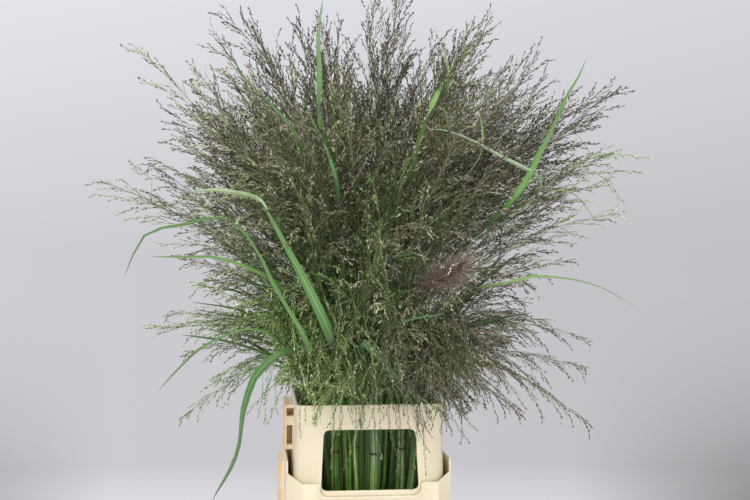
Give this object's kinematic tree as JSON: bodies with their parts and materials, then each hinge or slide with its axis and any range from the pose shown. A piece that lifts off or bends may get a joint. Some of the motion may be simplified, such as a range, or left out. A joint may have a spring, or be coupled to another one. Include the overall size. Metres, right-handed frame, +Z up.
{
  "type": "cut switchgrass in trade bucket",
  "caption": "Full bunches of cut switchgrass with airy purple-brown and green panicles, standing in a cream plastic bucket with a slip-in collar that has a front window.",
  "frame": {"origin": "middle of the bucket's underside", "axes": "+Z up, the collar's window looks along -Y, the long sides of the bucket lie along Y"},
  "size_m": [0.9997, 0.8507, 1.1619],
  "materials": {
    "bucket_plastic": "satin",
    "collar_plastic": "satin",
    "water": "gloss",
    "leaf_green": "satin",
    "rubber_band": "matte",
    "panicle_purple": "matte",
    "panicle_green": "matte"
  },
  "bodies": {
    "root": {"bucket": "bucket_plastic", "collar": "collar_plastic", "water": "water", "stems_1": "leaf_green", "stems_2": "leaf_green", "stems_3": "leaf_green", "stems_4": "leaf_green", "stems_5": "leaf_green", "stems_6": "leaf_green", "stems_7": "leaf_green", "stems_8": "leaf_green", "band_1": "rubber_band", "band_2": "rubber_band", "band_3": "rubber_band", "band_4": "rubber_band", "band_5": "rubber_band", "band_6": "rubber_band", "band_7": "rubber_band", "band_8": "rubber_band", "panicle_1": "panicle_purple", "panicle_2": "panicle_purple", "panicle_3": "panicle_purple", "panicle_4": "panicle_purple", "panicle_5": "panicle_purple", "panicle_6": "panicle_purple", "panicle_7": "panicle_purple", "panicle_8": "panicle_purple", "panicle_9": "panicle_purple", "panicle_10": "panicle_purple", "panicle_11": "panicle_purple", "panicle_12": "panicle_purple", "panicle_13": "panicle_green", "panicle_14": "panicle_purple", "panicle_15": "panicle_purple", "panicle_16": "panicle_green", "panicle_17": "panicle_purple", "panicle_18": "panicle_green", "panicle_19": "panicle_purple", "panicle_20": "panicle_purple", "panicle_21": "panicle_green", "panicle_22": "panicle_purple", "panicle_23": "panicle_purple", "panicle_24": "panicle_green", "panicle_25": "panicle_purple", "panicle_26": "panicle_green", "panicle_27": "panicle_purple", "panicle_28": "panicle_purple", "panicle_29": "panicle_green", "panicle_30": "panicle_purple", "panicle_31": "panicle_green", "panicle_32": "panicle_purple", "panicle_33": "panicle_purple", "panicle_34": "panicle_green", "panicle_35": "panicle_purple", "panicle_36": "panicle_purple", "panicle_37": "panicle_green", "panicle_38": "panicle_purple", "panicle_39": "panicle_green", "panicle_40": "panicle_purple"}
  },
  "joints": []
}
